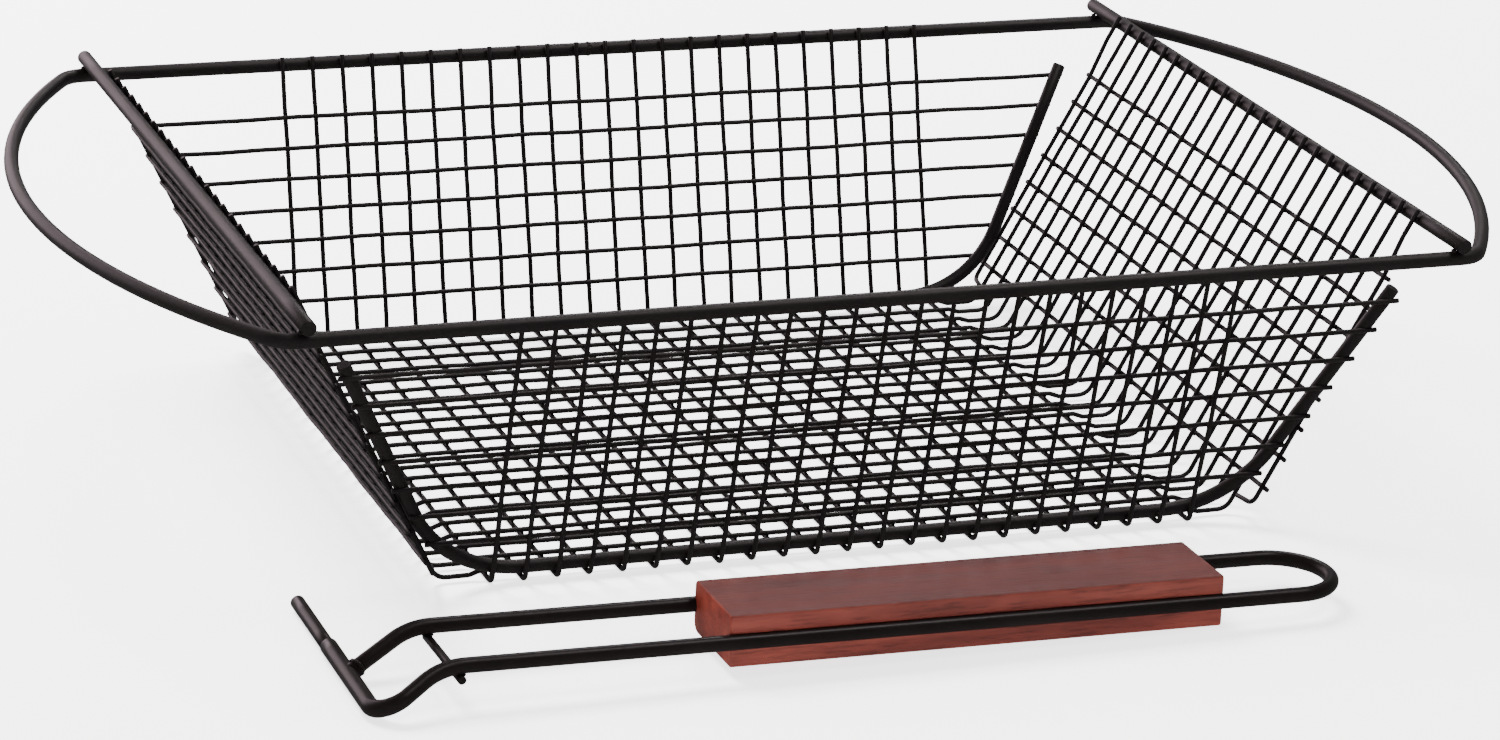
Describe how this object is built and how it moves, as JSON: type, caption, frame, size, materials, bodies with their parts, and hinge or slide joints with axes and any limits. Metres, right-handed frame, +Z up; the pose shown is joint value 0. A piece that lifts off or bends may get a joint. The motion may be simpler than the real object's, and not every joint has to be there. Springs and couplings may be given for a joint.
{
  "type": "grill basket",
  "caption": "Black welded-wire grill basket with bowed rim ends and a detached rod handle with a wooden grip.",
  "frame": {"origin": "centre of the mesh basket on the ground, at the underside of the middle cross wire", "axes": "+X along the basket's length, +Y to its back, +Z up; the detached handle lies in front at negative Y"},
  "size_m": [0.4525, 0.3465, 0.0964],
  "materials": {
    "black_paint": "semi-gloss black coating on steel wire and rod",
    "stained_wood": "reddish brown stain, satin"
  },
  "bodies": {
    "basket": {"rim_loop": "black_paint", "cross_rod_left": "black_paint", "cross_rod_right": "black_paint", "wall_frame_back": "black_paint", "wall_frame_front": "black_paint", "end_ladder_left": "black_paint", "end_ladder_right": "black_paint", "cross_wire_01": "black_paint", "cross_wire_02": "black_paint", "cross_wire_03": "black_paint", "cross_wire_04": "black_paint", "cross_wire_05": "black_paint", "cross_wire_06": "black_paint", "cross_wire_07": "black_paint", "cross_wire_08": "black_paint", "cross_wire_09": "black_paint", "cross_wire_10": "black_paint", "cross_wire_11": "black_paint", "cross_wire_12": "black_paint", "cross_wire_13": "black_paint", "cross_wire_14": "black_paint", "cross_wire_15": "black_paint", "cross_wire_16": "black_paint", "cross_wire_17": "black_paint", "cross_wire_18": "black_paint", "cross_wire_19": "black_paint", "cross_wire_20": "black_paint", "cross_wire_21": "black_paint", "cross_wire_22": "black_paint", "cross_wire_23": "black_paint", "long_wire_01": "black_paint", "long_wire_02": "black_paint", "long_wire_03": "black_paint", "long_wire_04": "black_paint", "long_wire_05": "black_paint", "long_wire_06": "black_paint", "long_wire_07": "black_paint", "long_wire_08": "black_paint", "long_wire_09": "black_paint", "long_wire_10": "black_paint", "long_wire_11": "black_paint", "long_wire_12": "black_paint", "long_wire_13": "black_paint", "long_wire_14": "black_paint", "long_wire_15": "black_paint", "long_wire_16": "black_paint", "long_wire_17": "black_paint", "long_wire_18": "black_paint", "long_wire_19": "black_paint", "long_wire_20": "black_paint", "long_wire_21": "black_paint", "long_wire_22": "black_paint"},
    "handle": {"handle_rod": "black_paint", "hook_rod": "black_paint", "stop_pin": "black_paint", "wood_grip": "stained_wood"}
  },
  "joints": [
    {"name": "handle_lift", "type": "slide", "parent": "basket", "child": "handle", "axis": [0, -0.4, 0.9165], "range_m": [0, 0.2]}
  ]
}
